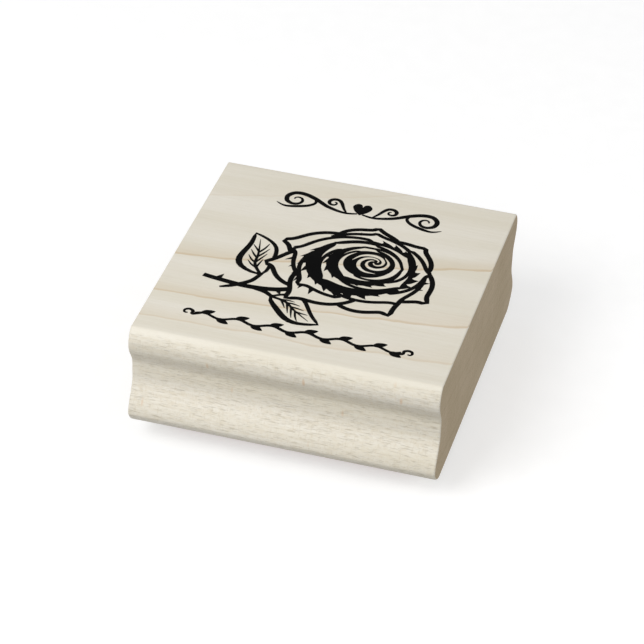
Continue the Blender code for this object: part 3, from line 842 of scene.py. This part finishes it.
def moulding_section():
    """The block's section across the grain, anticlockwise as (depth, height over the underside)."""
    def sweep(start, end):
        (d0, h0), (d1, h1) = start, end
        shares = [i / SWEEP_STEPS for i in range(1, SWEEP_STEPS)]
        return [(d0 + (d1 - d0) * (1 - math.cos(math.pi * s)) / 2, h0 + (h1 - h0) * s) for s in shares]

    flare = (FLARE_HALF_DEPTH, FLARE_HEIGHT)
    waist = [(WAIST_HALF_DEPTH, height) for height in (WAIST_LOW, WAIST_HIGH)]
    shoulder = [(SHOULDER_HALF_DEPTH, height) for height in (SHOULDER_LOW, SHOULDER_HIGH)]
    angles = [math.pi / 2 * i / ROUND_STEPS for i in range(ROUND_STEPS + 1)]
    under_round = [(
        UNDERSIDE_HALF_DEPTH + (FLARE_HALF_DEPTH - UNDERSIDE_HALF_DEPTH) * math.sin(a) ** ROUNDING,
        FLARE_HEIGHT * (1 - math.cos(a) ** ROUNDING)) for a in angles[:-1]]
    top_round = [(
        TOP_HALF_DEPTH + (SHOULDER_HALF_DEPTH - TOP_HALF_DEPTH) * math.cos(a) ** ROUNDING,
        SHOULDER_HIGH + (BLOCK_HEIGHT - SHOULDER_HIGH) * math.sin(a) ** ROUNDING) for a in angles[1:-1]]
    top_round += [(TOP_HALF_DEPTH, BLOCK_HEIGHT), (TOP_HALF_DEPTH - FLAT_EDGE, BLOCK_HEIGHT)]
    groove = [*sweep(flare, waist[0]), *waist, *sweep(waist[1], shoulder[0])]
    under_edge = (UNDERSIDE_HALF_DEPTH - FLAT_EDGE, 0.0)
    side = [under_edge, *under_round, flare, *groove, *shoulder, *top_round]
    return side + [(-depth, height) for depth, height in reversed(side)]


def maple_block():
    """The moulding, with the edges of its two sawn ends sanded round."""
    section = moulding_section()
    half = BLOCK_LENGTH / 2
    rings = []
    for i in range(EASE_STEPS + 1):
        a = math.pi / 2 * i / EASE_STEPS
        inset = END_EASE * (1 - math.sin(a))
        rings.append((END_EASE * (1 - math.cos(a)) - half, grown(section, -inset)))
    rings.insert(0, (-half, grown(section, -END_EASE - END_EDGE)))
    rings += [(-x, outline) for x, outline in reversed(rings)]
    rings = [[(x, depth, BLOCK_LOW.z + height) for depth, height in outline] for x, outline in rings]
    strips = list(zip(rings, rings[1:]))
    faces, kinds = [rings[0][::-1], rings[-1]], [1, 1]
    for i, (near, far) in enumerate(strips):
        end_grain = i < END_GRAIN_STRIPS or i >= len(strips) - END_GRAIN_STRIPS
        for (a, b), (c, d) in zip(sides_of(near), sides_of(far)):
            faces.append([a, b, d, c])
            kinds.append(int(end_grain))
    return add_piece(
        "maple_block", faces, maple_side(), "block", "wood_block", 30, kinds, maple_end())


def ink_film(name, node, artwork, island, material):
    """One connected piece of the printed artwork."""
    points, triangles, _, sides = artwork
    low = BLOCK_HIGH.z + INK_GAP
    faces = []
    for i in island:
        corners = [points[j] for j in triangles[i]]
        faces += [[(x, y, low) for x, y in reversed(corners)], [(x, y, low + INK) for x, y in corners]]
        for pair, ends in zip(sides_of(triangles[i]), sides_of(corners)):
            if not all(j in island for j in sides[frozenset(pair)]):
                faces.append(upright(ends, low, low + INK))
    return add_piece(name, faces, material, "block", node)


def feet(artwork):
    """Where each raised line's foot stands: out from its printed edge, clear of its neighbours."""
    points, triangles, inked, sides = artwork
    loops = borders(triangles, inked, sides)
    tree = KDTree(sum(map(len, loops)))
    for loop in loops:
        for corner in loop:
            tree.insert((*points[corner], 0), corner)
    tree.balance()
    made = {}
    for loop in loops:
        moved = grown([points[corner] for corner in loop], 1.0)
        for i, (corner, (x, y)) in enumerate(zip(loop, moved)):
            same_edge = {loop[(i + k) % len(loop)] for k in range(-SAME_EDGE, SAME_EDGE + 1)}
            px, py = points[corner]
            found = tree.find_range((px, py, 0), NEIGHBOURHOOD)
            others = [far for _, corner_there, far in found if corner_there not in same_edge]
            reach = min([SLOPE, *(NEIGHBOUR_SHARE * far for far in others)])
            made[corner] = (px + (x - px) * reach, py + (y - py) * reach)
    return made


def rubber_die(sheet, artwork):
    """The engraved rubber: raised lines with sloping shoulders on a base."""
    points, triangles, inked, sides = artwork
    foot = feet(artwork)
    faces = [[(x, y, DIE_HIGH.z) for x, y in sheet]]
    faces += [upright(side, RELIEF, DIE_HIGH.z) for side in sides_of(sheet)]
    for i, triangle in enumerate(triangles):
        if not inked[i]:
            faces.append([(*foot.get(j, points[j]), RELIEF) for j in reversed(triangle)])
            continue
        faces.append([(*points[j], 0.0) for j in reversed(triangle)])
        for a, b in sides_of(triangle):
            if not all(inked[j] for j in sides[frozenset((a, b))]):
                faces.append([(*points[a], 0.0), (*points[b], 0.0), (*foot[b], RELIEF), (*foot[a], RELIEF)])
    return add_piece("engraved_rubber", faces, red_rubber(), "die", "rubber_die", 25)


def foam_cushion(sheet):
    """The cushion: die-cut, so its edge is pressed in a little at mid height and is slightly uneven."""
    outline = divided(sheet, FOAM_STEP)
    directions = outward(outline)
    rows = []
    for k in range(FOAM_ROWS + 1):
        share = k / FOAM_ROWS
        height = FOAM_LOW.z + (FOAM_HIGH.z - FOAM_LOW.z) * share
        row = []
        for i, ((x, y), direction) in enumerate(zip(outline, directions)):
            around = 2 * math.pi * i / len(outline)
            uneven = 0.05 * math.sin(9 * around + 5 * share) + 0.03 * math.sin(31 * around - 9 * share)
            inset = FOAM_INSET + (FOAM_HOLLOW + uneven) * math.sin(math.pi * share)
            row.append((x - inset * math.cos(direction), y - inset * math.sin(direction), height))
        rows.append(row)
    faces = [rows[0][::-1], rows[-1]]
    for low, high in zip(rows, rows[1:]):
        for (a, b), (c, d) in zip(sides_of(low), sides_of(high)):
            faces.append([a, b, d, c])
    made = add_piece("cushion_foam", faces, grey_foam(), "block", "foam_cushion", 50)
    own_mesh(made)


# ---------------------------------------------------------------- camera and light

def add_camera():
    """The camera, which looks at the block's front and right end from above."""
    a, e, roll = (math.radians(v) for v in (CAMERA_AZIMUTH, CAMERA_ELEVATION, CAMERA_ROLL))
    back = Vector((math.sin(a) * math.cos(e), -math.cos(a) * math.cos(e), math.sin(e)))
    level = Vector((math.cos(a), math.sin(a), 0))
    up = back.cross(level)
    right = math.cos(roll) * level + math.sin(roll) * up
    camera = bpy.data.objects.new("camera", bpy.data.cameras.new("camera"))
    camera.data.lens = CAMERA_LENS
    camera.data.sensor_width = CAMERA_SENSOR
    camera.data.clip_start, camera.data.clip_end = CAMERA_CLIP
    turned = Matrix((right, back.cross(right), back)).transposed().to_4x4()
    camera.matrix_world = Matrix.Translation(MM * (CAMERA_TARGET + CAMERA_DISTANCE * back)) @ turned
    bpy.context.collection.objects.link(camera)
    bpy.context.scene.camera = camera


def add_light(name, place, power):
    """A square softbox that faces the block."""
    light = bpy.data.lights.new(name, "AREA")
    light.size = SOFTBOX_SIZE
    light.energy = power
    made = bpy.data.objects.new(name, light)
    made.location = place
    aim = MM * Vector((0, 0, BLOCK_HIGH.z / 2)) - Vector(place)
    made.rotation_euler = aim.to_track_quat("-Z", "Y").to_euler()
    bpy.context.collection.objects.link(made)


def white_paper():
    """The floor's white paper, with a glow of its own that keeps the shadows soft."""
    shade = Shader("white_paper")
    fibres = shade.noise(shade.stretched(0.2, 0.2, 0.2), 4.0)
    colour = shade.mix(shade.span(fibres, 0.3, 0.7), rgb(205, 205, 205), rgb(202, 202, 202))
    return shade.finish(
        Base_Color=colour, Roughness=0.9, Specular_IOR_Level=0.2, Emission_Color=(1, 1, 1, 1),
        Emission_Strength=FLOOR_GLOW)


def add_floor():
    """A level sheet of paper under the printing face."""
    turns = ((-1, -1), (1, -1), (1, 1), (-1, 1))
    mesh = bpy.data.meshes.new("floor")
    mesh.from_pydata([(x * FLOOR_REACH, y * FLOOR_REACH, -FLOOR_DROP) for x, y in turns], [], [(0, 1, 2, 3)])
    mesh.materials.append(white_paper())
    floor = bpy.data.objects.new("floor", mesh)
    floor.visible_diffuse = False      # its glow would fill the shade in the grooves
    bpy.context.collection.objects.link(floor)


def add_studio():
    """Even white light from all round, the softboxes and the floor."""
    world = bpy.data.worlds.new("studio")
    world.use_nodes = True
    background = world.node_tree.nodes["Background"]
    background.inputs["Color"].default_value = (1, 1, 1, 1)
    background.inputs["Strength"].default_value = WORLD_LIGHT
    bpy.context.scene.world = world
    bpy.context.scene.view_settings.view_transform = "Standard"
    for name, place, power in SOFTBOXES:
        add_light(name, place, power)
    add_floor()


# ---------------------------------------------------------------- the stamp

def main():
    """The studio and the stamp. Its two adhesive films keep the CAD's shape, which is all that they are."""
    add_camera()
    add_studio()
    maple_block()

    sheet = rounded_rectangle(DIE_HIGH.x, DIE_HIGH.y, DIE_CORNER)
    artwork = drawing(sheet, spray() + flower() + upper_ornament() + lower_ornament())
    points, triangles, inked, sides = artwork

    def middle(island):
        """How far up the sheet the middles of an island's triangles are, on average."""
        return sum(points[j][1] for i in island for j in triangles[i]) / (3 * len(island))

    ink = black_ink()
    prints = sorted(map(set, islands(triangles, sides, inked)), key=middle)
    for name, island in zip(["lower_ornament", "rose", "upper_ornament"], prints, strict=True):
        ink_film(name + "_ink", name + "_print", artwork, island, ink)

    rubber_die(sheet, artwork)
    foam_cushion(sheet)
    film = adhesive_film()
    for node in ("block_adhesive", "die_adhesive"):
        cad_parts[node].material_slots[0].material = film


main()
